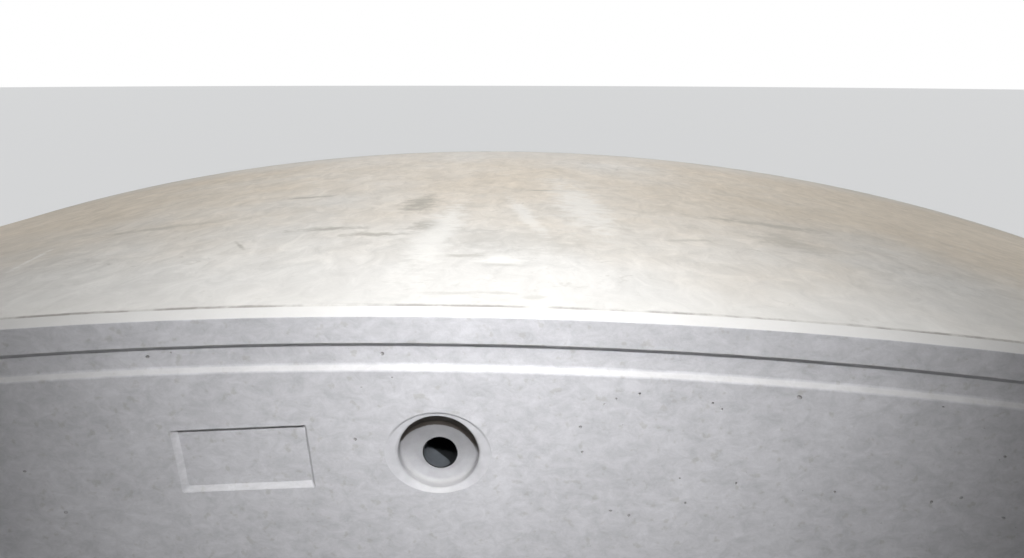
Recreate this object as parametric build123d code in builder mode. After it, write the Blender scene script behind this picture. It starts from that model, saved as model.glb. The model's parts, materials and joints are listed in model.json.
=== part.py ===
from build123d import *
from math import atan, cos, degrees, radians, sin, sqrt, tan
import os

# Precast concrete tunnel segment, lying crown up on its two inner long edges.
# X runs along the chord, Y along the tunnel, Z up. The origin is the middle of the base.
# The joint face that the photograph shows looks towards -Y.

# The ring that the segment belongs to
ring_width = 1700.0
outer_radius = 5915.0
thickness = 350.0
segment_angle = 40.0

# Arrises: the mould's edge strip leaves a sloping one round the trowelled back
arris_width = 16.0
arris_drop = 7.5
inner_arris = 10.0

# Gasket groove, the same on all four joint faces
groove_from_back = 39.0
groove_mouth = 34.6
groove_depth = 7.5
groove_draft = 6.2

# Bolt sockets in the two ring joint faces: an oval rebate, a short wall, a coned floor and a flat seat
socket_from_back = 179.5
socket_step = 40.0 / 3.0
rebate_width = 126.4
rebate_height = 106.8
rebate_depth = 3.5
dish_radius = 48.0
dish_depth = 16.5
dish_wall = 11.5
seat_radius = 33.0

# Bolt ducts: straight at the joint face, then curved down to a pocket in the inner face
duct_bore = 20.5
duct_drop = 10.0
duct_straight = 60.0
duct_bend = 400.0
duct_turn = 36.0
radial_duct_spacing = 850.0

# Bolt pockets: the seat is square to the bolt, the roof runs on along it as far as the spanner needs
seat_above_bolt = 45.0
pocket_run = 115.0
pocket_end_draft = 20.0
pocket_width = 150.0
pocket_corner = 18.0

# Cast recess for a mark, left of the middle socket on the face that the photograph shows
mark_width = 164.0
mark_height = 83.5
mark_depth = 6.0
mark_draft = 6.0
mark_angle = -2.35
mark_tilt = 1.3
mark_from_back = 186.5

# Lifting and grouting socket in the middle of the inner face
lift_mouth_radius = 55.0
lift_mouth_depth = 40.0
lift_bore_radius = 30.0
lift_bore_depth = 110.0

# Worked out from the sizes above
half_turn = radians(segment_angle / 2)
half_width = ring_width / 2
inner_radius = outer_radius - thickness
foot = sqrt(inner_radius**2 - inner_arris**2)
axis_height = -(inner_arris * sin(half_turn) + foot * cos(half_turn))
groove_top = outer_radius - groove_from_back
groove_base = groove_top - groove_mouth
socket_radius = outer_radius - socket_from_back
duct_radius = socket_radius - duct_drop
bolt_above_inner = duct_radius - inner_radius
below_inner = thickness / 5


def at_joint(angle, radius, side):
    """Plane on a ring joint face, x along the ring and y to the back; side -1 is the one shown."""
    turn = radians(angle)
    return Plane(
        origin=(radius * sin(turn), side * half_width, axis_height + radius * cos(turn)),
        x_dir=(-side * cos(turn), 0, side * sin(turn)),
        z_dir=(0, side, 0),
    )


def at_end(y, radius, side):
    """Plane on a radial joint face, x along the tunnel and y to the back; side 1 is towards +X."""
    return Plane(
        origin=(side * radius * sin(half_turn), y, axis_height + radius * cos(half_turn)),
        x_dir=(0, side, 0),
        z_dir=(side * cos(half_turn), 0, -sin(half_turn)),
    )


# The seat of one socket, seen from outside: z out of the joint face, y to the back
with BuildPart() as seat:
    with BuildSketch(Plane.XY):
        Ellipse(rebate_width / 2, rebate_height / 2)
    with BuildSketch(Plane.XY.offset(-rebate_depth)):
        Circle(dish_radius)
    loft()
    with BuildSketch(Plane.XY.offset(-rebate_depth)):
        Circle(dish_radius)
    extrude(amount=-dish_wall)
    with Locations((0, 0, -rebate_depth - dish_depth)):
        Cone(seat_radius, dish_radius, dish_depth - dish_wall, align=(Align.CENTER, Align.CENTER, Align.MIN))

# One bolt pocket and duct, in the same frame but with its origin on the bolt at the joint face.
# A point of the pocket is given by how far it is in from the joint and down from the bolt.
bend = radians(duct_turn)
bend_end_in = duct_straight + duct_bend * sin(bend)
bend_end_down = duct_bend * (1 - cos(bend))
top_in = bend_end_in + seat_above_bolt * sin(bend)
top_down = bend_end_down - seat_above_bolt * cos(bend)
roof_in = top_in + pocket_run * cos(bend)
roof_down = top_down + pocket_run * sin(bend)
mouth_down = bolt_above_inner + below_inner
near_in = bend_end_in - (mouth_down - bend_end_down) * tan(bend)
far_in = roof_in + (mouth_down - roof_down) * tan(radians(pocket_end_draft))

with BuildPart() as pocket:
    with BuildSketch(Plane.YZ):
        Polygon(
            (-top_down, -top_in),
            (-mouth_down, -near_in),
            (-mouth_down, -far_in),
            (-roof_down, -roof_in),
            align=None,
        )
    extrude(amount=pocket_width / 2, both=True)
    far_wall = pocket.faces().filter_by(Axis.X, reverse=True).sort_by(Axis.Z)[0]
    fillet(far_wall.edges().filter_by(Axis.X, reverse=True), pocket_corner)

with BuildPart() as duct:
    with BuildSketch(Plane.XY):
        Circle(duct_bore)
    extrude(amount=-duct_straight)
    with BuildSketch(Plane.XY.offset(-duct_straight)):
        Circle(duct_bore)
    revolve(axis=Axis((0, -duct_bend, -duct_straight), (-1, 0, 0)), revolution_arc=duct_turn)
    add(pocket.part)

# What the radial joint faces lose, straight along the tunnel: groove, outer and inner arris
right_section = Plane(
    origin=(0, 0, axis_height),
    x_dir=(cos(half_turn), 0, -sin(half_turn)),
    z_dir=(0, -1, 0),
)
with BuildPart() as end_cuts:
    with BuildSketch(right_section):
        Polygon(
            (0, groove_top),
            (-groove_depth, groove_top - groove_draft),
            (-groove_depth, groove_base + groove_draft),
            (0, groove_base),
            align=None,
        )
        Polygon(
            (0, outer_radius - arris_drop),
            (-arris_width, outer_radius),
            (-arris_width, outer_radius + arris_drop),
            (0, outer_radius + arris_drop),
            align=None,
        )
        Polygon(
            (0, inner_radius + inner_arris),
            (-inner_arris, foot),
            (-inner_arris, inner_radius - inner_arris),
            (0, inner_radius - inner_arris),
            align=None,
        )
    extrude(amount=half_width, both=True)
    mirror(about=Plane.YZ)

# The segment: its section across the tunnel, turned about the tunnel's axis
left_end = Plane(
    origin=(0, 0, axis_height),
    x_dir=(0, 1, 0),
    z_dir=(cos(half_turn), 0, sin(half_turn)),
)
with BuildPart() as segment:
    with BuildSketch(left_end):
        with BuildLine():
            Polyline(
                (0, outer_radius),
                (half_width - arris_width, outer_radius),
                (half_width, outer_radius - arris_drop),
                (half_width, groove_top),
                (half_width - groove_depth, groove_top - groove_draft),
                (half_width - groove_depth, groove_base + groove_draft),
                (half_width, groove_base),
                (half_width, inner_radius + inner_arris),
                (half_width - inner_arris, inner_radius),
                (0, inner_radius),
            )
            mirror(about=Plane.YZ)
        make_face()
    revolve(axis=Axis((0, 0, axis_height), (0, 1, 0)), revolution_arc=segment_angle)
    add(end_cuts.part, mode=Mode.SUBTRACT)

    # Ring joint faces: three sockets on each, with their ducts
    for side in (-1, 1):
        for step in (-1, 0, 1):
            with Locations(at_joint(step * socket_step, socket_radius, side)):
                add(seat.part, mode=Mode.SUBTRACT)
            with Locations(at_joint(step * socket_step, duct_radius, side)):
                add(duct.part, mode=Mode.SUBTRACT)

    # Radial joint faces: two plain ducts on each
    for side in (-1, 1):
        for y in (-radial_duct_spacing / 2, radial_duct_spacing / 2):
            with Locations(at_end(y, duct_radius, side)):
                add(duct.part, mode=Mode.SUBTRACT)

    # Recess for the mark
    with BuildSketch(at_joint(mark_angle, outer_radius - mark_from_back, -1)):
        Rectangle(mark_width, mark_height, rotation=mark_tilt)
    extrude(amount=-mark_depth, taper=degrees(atan(mark_draft / mark_depth)), mode=Mode.SUBTRACT)

    # Lifting and grouting socket: a coned mouth and a blind bore
    with BuildSketch(Plane.XZ):
        Polygon(
            (0, axis_height + inner_radius - lift_mouth_depth),
            (lift_mouth_radius, axis_height + inner_radius - lift_mouth_depth),
            (lift_mouth_radius, axis_height + inner_radius),
            (lift_bore_radius, axis_height + inner_radius + lift_mouth_depth),
            (lift_bore_radius, axis_height + inner_radius + lift_mouth_depth + lift_bore_depth),
            (0, axis_height + inner_radius + lift_mouth_depth + lift_bore_depth),
            align=None,
        )
    revolve(axis=Axis.Z, mode=Mode.SUBTRACT)

segment.part.label = "tunnel_segment"

os.makedirs("parts", exist_ok=True)
export_step(segment.part, "parts/tunnel_segment.step")
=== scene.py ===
"""The looks of a precast concrete tunnel segment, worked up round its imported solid."""

import json
import math
import random

import bmesh
import bpy
from mathutils import Matrix, Vector, noise


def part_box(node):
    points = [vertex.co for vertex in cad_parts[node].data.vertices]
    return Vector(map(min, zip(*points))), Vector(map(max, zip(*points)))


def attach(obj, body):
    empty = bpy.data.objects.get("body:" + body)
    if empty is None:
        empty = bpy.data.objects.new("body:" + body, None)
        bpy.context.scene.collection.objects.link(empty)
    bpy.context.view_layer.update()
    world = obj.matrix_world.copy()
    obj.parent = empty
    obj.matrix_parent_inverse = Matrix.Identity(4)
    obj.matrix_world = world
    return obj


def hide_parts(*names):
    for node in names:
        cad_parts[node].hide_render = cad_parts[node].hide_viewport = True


bl_info = {
    "name": "Precast tunnel segment",
    "version": (1, 0, 0),
    "blender": (4, 5, 0),
    "location": "View3D > Sidebar > Segment",
    "description": "Casts a concrete tunnel segment with its finish, and stands it in a plain studio",
    "category": "Add Mesh",
}

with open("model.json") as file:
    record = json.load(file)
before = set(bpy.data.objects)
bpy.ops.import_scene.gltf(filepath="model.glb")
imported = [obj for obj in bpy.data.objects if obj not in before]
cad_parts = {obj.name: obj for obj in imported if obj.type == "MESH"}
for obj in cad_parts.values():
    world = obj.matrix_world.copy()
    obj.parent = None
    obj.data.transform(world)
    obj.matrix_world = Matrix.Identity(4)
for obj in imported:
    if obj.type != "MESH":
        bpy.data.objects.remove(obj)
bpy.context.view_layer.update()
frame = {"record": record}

MM = 0.001
NODE = "tunnel_segment"
BODY = "root"

# The ring that the segment belongs to. The origin is the middle of the base.
LOW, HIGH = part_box(NODE)
RING_WIDTH = HIGH.y - LOW.y
HALF_WIDTH = RING_WIDTH / 2
OUTER_RADIUS = 5915 * MM
THICKNESS = 350 * MM
INNER_RADIUS = OUTER_RADIUS - THICKNESS
HALF_TURN = math.radians(20)
AXIS_HEIGHT = HIGH.z - OUTER_RADIUS

# Section of a joint face, from the back to the inside
ARRIS_WIDTH = 16 * MM
ARRIS_DROP = 7.5 * MM
INNER_ARRIS = 10 * MM
GROOVE_FROM_BACK = 39 * MM
GROOVE_MOUTH = 34.6 * MM
GROOVE_DEPTH = 7.5 * MM
GROOVE_DRAFT = 6.2 * MM
GROOVE_TOP = OUTER_RADIUS - GROOVE_FROM_BACK
GROOVE_BASE = GROOVE_TOP - GROOVE_MOUTH

# How many times as round as the other arrises the groove's four edges are, from the top down
GROOVE_ROUNDING = (0.5, 0.5, 3, 2.5)

# Seam between the back and the arris: where its floor starts and ends, as shares of its width from the
# back, the step at the arris, the length of its rags, and its least depth as a share of the greatest
SEAM_WIDTH = 7 * MM
SEAM_FLOOR = (0.35, 0.65)
SEAM_STEP = 0.2 * MM
SEAM_RAGS = 50 * MM
SEAM_LEAST = 0.6

# Waves of the trowel on the back: the size of a broad dip and of one pass, along and across the
# ring, how far a pass slants, the broad dips' share of the depth, and how narrow a pass's ridge is
DIP_SIZE = (420 * MM, 230 * MM)
PASS_SIZE = (300 * MM, 75 * MM)
PASS_SLANT = 0.8
DIP_SHARE = 0.6
RIDGE_POWER = 6
WAVES_BEGIN = 30 * MM

# Bolt socket: an oval rebate, a short wall, a coned floor and a flat seat
REBATE_HALF_WIDTH = 63.2 * MM
REBATE_HALF_HEIGHT = 53.4 * MM
REBATE_DEPTH = 3.5 * MM
DISH_RADIUS = 48 * MM
DISH_WALL = 11.5 * MM
DISH_DEPTH = 16.5 * MM
DISH_TAPER = 0.6 * MM
SEAT_RADIUS = 33 * MM
SEAT_ROUNDING = 12 * MM
SOCKET_STEPS = 88
SOCKET_FROM_BACK = 179.5 * MM

# Rim of a bolt socket as (out from the rebate's edge, in from the joint face) in mm, at the socket's
# top and at its bottom; the two meet between these heights, given as the sine of the turn
RIM_TOP = ((1.2, -6), (1.2, -0.01), (0.2, 0.35), (-0.6, 1.0))
RIM_BOTTOM = ((0.8, -6), (0.8, -0.01), (0.5, 0.06), (0.3, 0.12))
RIM_MEETS = (-0.3, 0.8)

# Rebate at the socket's top, which is shallower than at its bottom
TOP_REBATE_EDGE = -1.2 * MM
TOP_REBATE_DEPTH = 2.0 * MM
TOP_REBATE_FALL = 0.6 * MM

# Rounding at the foot of the dish's wall, at the socket's top and at its bottom
FOOT_ROUNDING = (3 * MM, 11 * MM)

# Bolt duct: straight at the joint face, then bent down to its pocket
DUCT_DROP = 10 * MM
DUCT_RADIUS = 20.5 * MM
DUCT_STRAIGHT = 60 * MM
DUCT_BEND = 400 * MM
DUCT_TURN = math.radians(36)
DUCT_LIP = 1.0 * MM

# Bolt pocket in the inner face, square to the bolt at its seat
SEAT_ABOVE_BOLT = 45 * MM
POCKET_RUN = 115 * MM
POCKET_END_DRAFT = math.radians(20)
POCKET_WIDTH = 150 * MM
POCKET_BELOW_FACE = 70 * MM
POCKET_SEAT_ROUNDING = 8 * MM
POCKET_ROOF_ROUNDING = 14 * MM
POCKET_FLANK_ROUNDING = 9 * MM

# Cast recess for a mark on the front face, left bare. Its left and bottom walls slope by its depth,
# and the right and top ones by these shares of that.
MARK_SIZE = (164 * MM, 83.5 * MM)
MARK_DEPTH = 6 * MM
MARK_ANGLE = math.radians(-2.35)
MARK_TILT = math.radians(1.3)
MARK_FROM_BACK = 186.5 * MM
MARK_CORNER = 2.5 * MM
MARK_RIGHT_SLOPE = 0.7
MARK_TOP_SLOPE = 0.5

# Lifting and grouting socket in the middle of the inner face
LIFT_MOUTH_RADIUS = 55 * MM
LIFT_MOUTH_DEPTH = 40 * MM
LIFT_BORE_RADIUS = 30 * MM
LIFT_BORE_DEPTH = 110 * MM
LIFT_LIP = 1.5 * MM

# How far a former reaches out of the face that it cuts
OVERHANG = 6 * MM
END_PLATE_CLEAR = 80 * MM
LIFT_CLEAR = 40 * MM

# Radius of the small flat face that closes the tip of a round former
FORMER_TIP = 5 * MM

# How finely the faces are divided. The back's rows lie this far in from its seam at its edges, in mm,
# and are close as far as the place where they widen.
COLUMN = 12 * MM
OVERRUN = math.radians(0.5)
INSIDE_STEP = 300 * MM
END_STEP = 16 * MM
EDGE_ROWS = (2, 6, 11, 18, 28, 42, 58, 75)
CLOSE_ROW = 18 * MM
WIDE_ROW = 34 * MM
ROWS_WIDEN = -300 * MM
DUCT_POINTS = 40
DUCT_STEP = 20 * MM
DUCT_TURN_STEP = math.radians(6)
LIFT_POINTS = 48

# The most of a line's shorter side that the rounding of its corner may take
CORNER_ROOM = 0.45

# A face is flat, and stays so in its shading, where its normal is this close to a joint's
FLATNESS = 0.99999
SHARP_ANGLE = math.radians(35)

# The segment's finishes, in the order of its material slots
MOULDED, TROWELLED, FORMED, DUCT, POCKED = range(5)

# The blow holes that stand out on the front face: (along the ring, down from the back, radius), in mm
MAIN_POCKS = (
    (417, 85, 3.0), (330, 107, 1.8), (319, 100, 1.6), (208, 101, 1.5), (168, 139, 1.8), (171, 172, 1.8),
    (355, 202, 2.1), (208, 250, 1.8), (230, 255, 2.0), (473, 203, 1.6), (589, 204, 2.3), (623, 194, 2.3),
    (678, 214, 1.9), (-98, 161, 2.3), (-466, 250, 2.4), (-337, 53, 2.5), (-62, 55, 2.6),
)

# The chance blow holes of each face, as a share of those set for a square metre; the groove's are a
# share of those below it
FRONT_SHARE = 1.0
REAR_SHARE = 0.7
GROOVE_SHARE = 0.25
END_SHARE = 0.6
INNER_SHARE = 0.2
RING_FACE_LENGTH = 3.91
INNER_FACE_LENGTH = 3.8

# How much of a half length, half width or height the blow holes are spread over
ALONG_RING = 0.97
ALONG_TUNNEL = 0.95
UP_FACE = 0.48
UP_GROOVE = 0.25

# A blow hole: how far its middle stands out of the face, in radii, its stretch along, up and into the
# face, its turn in radians, the least gap to the next, and the radius from which it is cut finely
POCK_OUT = (-0.1, 0.35)
POCK_STRETCH = ((0.9, 1.5), (0.75, 1.1), (0.8, 1.2))
POCK_TURN = 0.5
POCK_GAP = 1 * MM
FINE_POCK = 1.2 * MM

# Strokes that stand out on the back: (along the ring, in from the front face, half length, half width)
# in mm, turn in degrees from along the ring, and strength; a stroke below 0 is dark
BACK_STROKES = (
    (-389, 816, 60, 14, 3, -0.66), (-119, 685, 42, 110, 0, -0.72), (-71, 463, 36, 62, 0, -0.72),
    (-242, 453, 80, 22, 4, -0.66), (-159, 396, 56, 18, -5, -0.6), (13, 252, 42, 14, 6, -0.48),
    (66, 205, 36, 12, -4, -0.48), (11, 68, 36, 9, 2, -0.6), (65, 72, 30, 8, -3, -0.6),
    (114, 57, 22, 8, 12, -0.54), (150, 865, 90, 9, 2, -0.72), (-360, 348, 46, 5, -58, -0.6),
    (378, 416, 70, 12, 17, -0.42), (-610, 560, 120, 24, 10, -0.42), (560, 620, 150, 28, -8, -0.48),
    (60, 360, 260, 110, 0, -0.24), (-45, 400, 330, 42, 88, 0.6), (210, 690, 380, 62, 95, 0.54),
    (66, 232, 44, 34, 10, 0.6), (100, 560, 240, 20, 100, 0.48), (-726, 378, 114, 6, -76, 0.6),
    (560, 470, 60, 90, 15, -0.36),
)

# How much the noise frays a stroke's edge, in half widths, and where the stroke ends and is full
STROKE_FRAY = 2.4
STROKE_END = 2.35
STROKE_FULL = 1.35

# Painted shade along the seam: its line in from the arris as a share of the seam's width, and how far it
# wanders
SEAM_SHADE_LINE = 0.45
SEAM_SHADE_WANDER = 8 * MM

# Attribute that holds a vertex's place in the nearest bolt socket
SOCKET_PLACE = "socket_place"

# The painted shadow in the dish: how steeply its edge falls inwards, how far it lies to one side, and how
# ragged it is
DISH_SHADOW_SLANT = 1.0
DISH_SHADOW_ASIDE = 3 * MM
DISH_SHADOW_RAGS = 4 * MM

# How far the edge of the painted shadow in a duct moves aside and down for each length that it goes in
DUCT_SHADOW_TURN = 0.7
DUCT_SHADOW_SLANT = 0.85

# The photograph's camera, in the frame of the CAD
CAMERA_PLACE = (0.1060, -1.5882, 0.9359)
CAMERA_YAW = math.radians(1.421)
CAMERA_PITCH = math.radians(16.301)
CAMERA_ROLL = math.radians(0.125)
FOCAL_PIXELS = 700
IMAGE_WIDTH = 1024
SENSOR_WIDTH = 36

# Lamps: a small one above the camera, a broad one over the back, and one for the right end, which
# has a twin at the left
KEY_LAMP = {
    "place": (0.33, -2.52, 2.18), "target": (0.07, -0.85, 0.69), "size": 0.22, "spread": math.radians(34),
}
OVERHEAD_LAMP = {
    "place": (0.1, 0.9, 3.2), "target": (0.05, 0.6, 0.6), "size": 2.0, "spread": math.radians(90),
}
SIDE_LAMP = {
    "place": (3.5, -2.6, 1.6), "target": (1.9, -0.55, 0.25), "size": 1.0, "spread": math.radians(42),
}

# The world's light: its linear colour, and how many times as strong it is beside as behind
WORLD_TINT = (1, 0.98, 0.94, 1)
BESIDE_TIMES = 1.5

# The floor: its radius in metres, the points round its edge, and how it shows to the camera
FLOOR_RADIUS = 60
FLOOR_POINTS = 128
FLOOR_GLOW = 1.4
FLOOR_GLOW_SHARE = 0.75


def linear(hex_colour):
    """An sRGB hex colour as the linear RGBA that Blender works in."""
    levels = [int(hex_colour[i:i + 2], 16) / 255 for i in (1, 3, 5)]
    return (*(v / 12.92 if v <= 0.04045 else ((v + 0.055) / 1.055) ** 2.4 for v in levels), 1.0)


class SegmentSizes(bpy.types.PropertyGroup):
    """Sizes of the wear and finish that the solid does not have."""

    edge_round: bpy.props.FloatProperty(
        name="Edge rounding", description="Radius that casting and handling leave on an arris",
        default=1.4 * MM, min=0, unit="LENGTH")
    seam_width: bpy.props.FloatProperty(
        name="Seam width", description="Width of the ragged seam between the trowelled back and the arris",
        default=SEAM_WIDTH, min=0, unit="LENGTH")
    seam_depth: bpy.props.FloatProperty(
        name="Seam depth", description="Greatest depth of that seam",
        default=1.8 * MM, min=0, unit="LENGTH")
    back_wave: bpy.props.FloatProperty(
        name="Trowel wave", description="How far the trowelled back dips below its true curve",
        default=1.6 * MM, min=0, unit="LENGTH")
    pocks_per_area: bpy.props.FloatProperty(
        name="Pocks", description="Blow holes in a square metre of moulded face",
        default=100, min=0)
    pock_radius: bpy.props.FloatProperty(
        name="Pock radius", description="Radius of a middling blow hole",
        default=1.3 * MM, min=0.5 * MM, unit="LENGTH")
    seed: bpy.props.IntProperty(
        name="Seed", description="Picks where the chance blow holes fall", default=7, min=0)


class SegmentColours(bpy.types.PropertyGroup):
    """Colours of the concrete's surfaces."""

    moulded: bpy.props.FloatVectorProperty(
        name="Moulded concrete", description="Face cast against the steel mould",
        subtype="COLOR", size=4, min=0, max=1, default=linear("#B3B3B7"))
    trowelled: bpy.props.FloatVectorProperty(
        name="Trowelled concrete", description="Back finished with a steel trowel",
        subtype="COLOR", size=4, min=0, max=1, default=linear("#C1B7A9"))
    # Laitance on the back; also the paler colour painted on faces that look up: dust, and painted light
    # from above.
    laitance: bpy.props.FloatVectorProperty(
        name="Laitance", description="Pale cement skin that the trowel draws up, and dust on ledges",
        subtype="COLOR", size=4, min=0, max=1, default=linear("#C5C4C2"))
    skin: bpy.props.FloatVectorProperty(
        name="Cement skin", description="Whitest cement skin, where the trowel dragged it thick",
        subtype="COLOR", size=4, min=0, max=1, default=linear("#E2E1DE"))
    burnish: bpy.props.FloatVectorProperty(
        name="Burnish", description="Dark marks that the trowel's edge leaves, and dark specks",
        subtype="COLOR", size=4, min=0, max=1, default=linear("#8E8A82"))
    # A dark grey for the ducts' walls.
    duct: bpy.props.FloatVectorProperty(
        name="Bolt ducts", description="Greased wall of the ducts",
        subtype="COLOR", size=4, min=0, max=1, default=linear("#55595E"))
    # Painted shadow: the near black on the side of a duct that its mouth's edge would shade.
    duct_shadow: bpy.props.FloatVectorProperty(
        name="Grease", description="Thick grease on the side of a duct that its former dragged on",
        subtype="COLOR", size=4, min=0, max=1, default=linear("#16181A"))
    # The colour in the blow holes; along the seam it is painted shade, and in a socket's dish it is the
    # lighter edge of a painted shadow.
    dirt_and_shade: bpy.props.FloatVectorProperty(
        name="Dirt", description="Dirt in blow holes, in the seam and in the dish of a socket",
        subtype="COLOR", size=4, min=0, max=1, default=linear("#5B554F"))
    # Painted shadow: the dark crescent under the upper edge of a socket's dish.
    dish_shadow: bpy.props.FloatVectorProperty(
        name="Socket grime", description="Brown grime under the upper edge of a bolt socket",
        subtype="COLOR", size=4, min=0, max=1, default=linear("#302A26"))


class StageSettings(bpy.types.PropertyGroup):
    """The studio that the segment stands in."""

    floor: bpy.props.FloatVectorProperty(
        name="Floor", description="Colour of the plain floor",
        subtype="COLOR", size=4, min=0, max=1, default=linear("#C9CACB"))
    key_power: bpy.props.FloatProperty(
        name="Key lamp", description="Power of the small lamp above the camera",
        default=3.5, min=0, unit="POWER")
    overhead_power: bpy.props.FloatProperty(
        name="Overhead lamp", description="Power of the broad lamp over the back",
        default=17, min=0, unit="POWER")
    side_power: bpy.props.FloatProperty(
        name="Side lamps", description="Power of each lamp that lights one end of the segment",
        default=3.5, min=0, unit="POWER")
    ambient: bpy.props.FloatProperty(
        name="Ambient", description="Strength of the even light from above",
        default=0.07, min=0)
    surround: bpy.props.FloatProperty(
        name="Surround", description="Strength of the low soft light from behind; beside it is stronger",
        default=4.0, min=0)


def arc_corner(before, corner, after, radius, steps):
    """Points of the arc that rounds one corner of a line in a plane."""
    to_before = (before - corner).normalized()
    to_after = (after - corner).normalized()
    half = to_before.angle(to_after) / 2
    room = CORNER_ROOM * min((before - corner).length, (after - corner).length)
    reach = min(radius / math.tan(half), room)
    middle = corner + (to_before + to_after).normalized() * (reach / math.cos(half))
    first = corner + to_before * reach - middle
    last = corner + to_after * reach - middle
    spokes = [first.lerp(last, i / steps).normalized() * first.length for i in range(steps + 1)]
    return [middle + spoke for spoke in spokes]


def rounded_line(corners, steps=3):
    """A line in a plane from (x, y, radius) corners; a radius of 0 keeps the corner sharp."""
    points = [Vector(corner[:2]) for corner in corners]
    line = [points[0]]
    for i in range(1, len(points) - 1):
        if corners[i][2]:
            line += arc_corner(points[i - 1], points[i], points[i + 1], corners[i][2], steps)
        else:
            line.append(points[i])
    return line + [points[-1]]


def spaced(start, end, step):
    """Values from start to end in equal steps no longer than step."""
    count = max(1, math.ceil(abs(end - start) / step))
    return [start + (end - start) * i / count for i in range(count + 1)]


def smooth(value, low, high):
    """0 below low, 1 above high, and a soft rise between."""
    share = min(1.0, max(0.0, (value - low) / (high - low)))
    return share * share * (3 - 2 * share)


def finished_object(mesh, shape, finishes, finish):
    """Writes a shape to its mesh in one finish, and makes an object of it."""
    for face in shape.faces:
        face.material_index = finish
    shape.to_mesh(mesh)
    shape.free()
    for material in finishes:
        mesh.materials.append(material)
    made = bpy.data.objects.new(mesh.name, mesh)
    bpy.context.scene.collection.objects.link(made)
    return made


def skinned(name, rings, finishes, finish=MOULDED):
    """A closed object through rings of as many points each, with a flat face on the first and the last."""
    count = len(rings[0])
    vertices = [tuple(point) for ring in rings for point in ring]
    faces = [tuple(range(count)), tuple(range(len(vertices) - count, len(vertices)))]
    for row in range(len(rings) - 1):
        low = row * count
        for i in range(count):
            after = (i + 1) % count
            faces.append((low + i, low + after, low + count + after, low + count + i))
    mesh = bpy.data.meshes.new(name)
    mesh.from_pydata(vertices, [], faces)
    shape = bmesh.new()
    shape.from_mesh(mesh)
    bmesh.ops.recalc_face_normals(shape, faces=shape.faces)
    return finished_object(mesh, shape, finishes, finish)


def joint_profile(sizes):
    """The edge of the section down a joint face, as points (in from the face, distance from the axis)."""
    round_off = sizes.edge_round
    top, upper, lower, base = (times * round_off for times in GROOVE_ROUNDING)
    seam = ARRIS_WIDTH + sizes.seam_width
    floor = OUTER_RADIUS - sizes.seam_depth
    return rounded_line([
        (seam, OUTER_RADIUS, 0),
        *((seam - share * sizes.seam_width, floor, 0) for share in SEAM_FLOOR),
        (ARRIS_WIDTH, OUTER_RADIUS - SEAM_STEP, 0),
        (0, OUTER_RADIUS - ARRIS_DROP, round_off),
        (0, GROOVE_TOP, top),
        (GROOVE_DEPTH, GROOVE_TOP - GROOVE_DRAFT, upper),
        (GROOVE_DEPTH, GROOVE_BASE + GROOVE_DRAFT, lower),
        (0, GROOVE_BASE, base),
        (0, INNER_RADIUS + INNER_ARRIS, round_off),
        (INNER_ARRIS, INNER_RADIUS, round_off),
        (2 * INNER_ARRIS, INNER_RADIUS, 0),
    ])


def back_rows(sizes):
    """Places of the rows across the back: closest at its edges, and closer in front than behind."""
    edge = HALF_WIDTH - ARRIS_WIDTH - sizes.seam_width
    rear = [edge - gap * MM for gap in EDGE_ROWS]
    front = [-place for place in rear]
    close = spaced(front[-1], ROWS_WIDEN, CLOSE_ROW)
    wide = spaced(ROWS_WIDEN, rear[-1], WIDE_ROW)
    return front + close[1:] + wide[1:-1] + rear[::-1]


def around_axis(angle, y, radius):
    """The point at that angle from the crown, place along the tunnel and distance from its axis."""
    return Vector((radius * math.sin(angle), y, AXIS_HEIGHT + radius * math.cos(angle)))


def cast_body(sizes, finishes):
    """The segment's section turned about the tunnel's axis, a little past both radial joints."""
    front = [(inset - HALF_WIDTH, radius) for inset, radius in joint_profile(sizes)]
    rear = [(-y, radius) for y, radius in reversed(front)]
    inside = [(y, INNER_RADIUS) for y in spaced(front[-1][0], rear[0][0], INSIDE_STEP)[1:-1]]
    back = [(y, OUTER_RADIUS) for y in reversed(back_rows(sizes))]
    loop = front + inside + rear + back
    reach = HALF_TURN + OVERRUN
    angles = spaced(-reach, reach, COLUMN / OUTER_RADIUS)
    rings = [[around_axis(angle, y, radius) for y, radius in loop] for angle in angles]
    return skinned("segment", rings, finishes)


def end_axes(side):
    """Out of a radial joint face, and up it to the back; side 1 is towards +X."""
    outward = Vector((side * math.cos(HALF_TURN), 0, -math.sin(HALF_TURN)))
    upward = Vector((side * math.sin(HALF_TURN), 0, math.cos(HALF_TURN)))
    return outward, upward


def end_plate_cutter(sizes, side, finishes):
    """What the mould's end plate keeps free: all past one radial joint face, and in its groove."""
    profile = joint_profile(sizes)
    clear = END_PLATE_CLEAR
    loop = [
        Vector((-profile[0].x, OUTER_RADIUS + clear)),
        Vector((clear, OUTER_RADIUS + clear)),
        Vector((clear, INNER_RADIUS - clear)),
        Vector((-profile[-1].x, INNER_RADIUS - clear)),
    ]
    loop += [Vector((-inset, radius)) for inset, radius in reversed(profile)]
    outward, upward = end_axes(side)
    base = Vector((0, 0, AXIS_HEIGHT))
    rings = []
    for y in spaced(-HALF_WIDTH - clear, HALF_WIDTH + clear, END_STEP):
        rings.append([base + outward * point.x + upward * point.y + Vector((0, y, 0)) for point in loop])
    return skinned("end_plate", rings, finishes)


def local_frame(origin, outward, upward):
    """A matrix whose z axis points out of the concrete and whose y axis points to the back."""
    x = upward.cross(outward).normalized()
    return Matrix.Translation(origin) @ Matrix((x, upward, outward)).transposed().to_4x4()


def ring_frame(angle, from_back, side):
    """Frame on a ring joint face; side -1 is the front."""
    origin = around_axis(angle, side * HALF_WIDTH, OUTER_RADIUS - from_back)
    return local_frame(origin, Vector((0, side, 0)), Vector((math.sin(angle), 0, math.cos(angle))))


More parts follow.
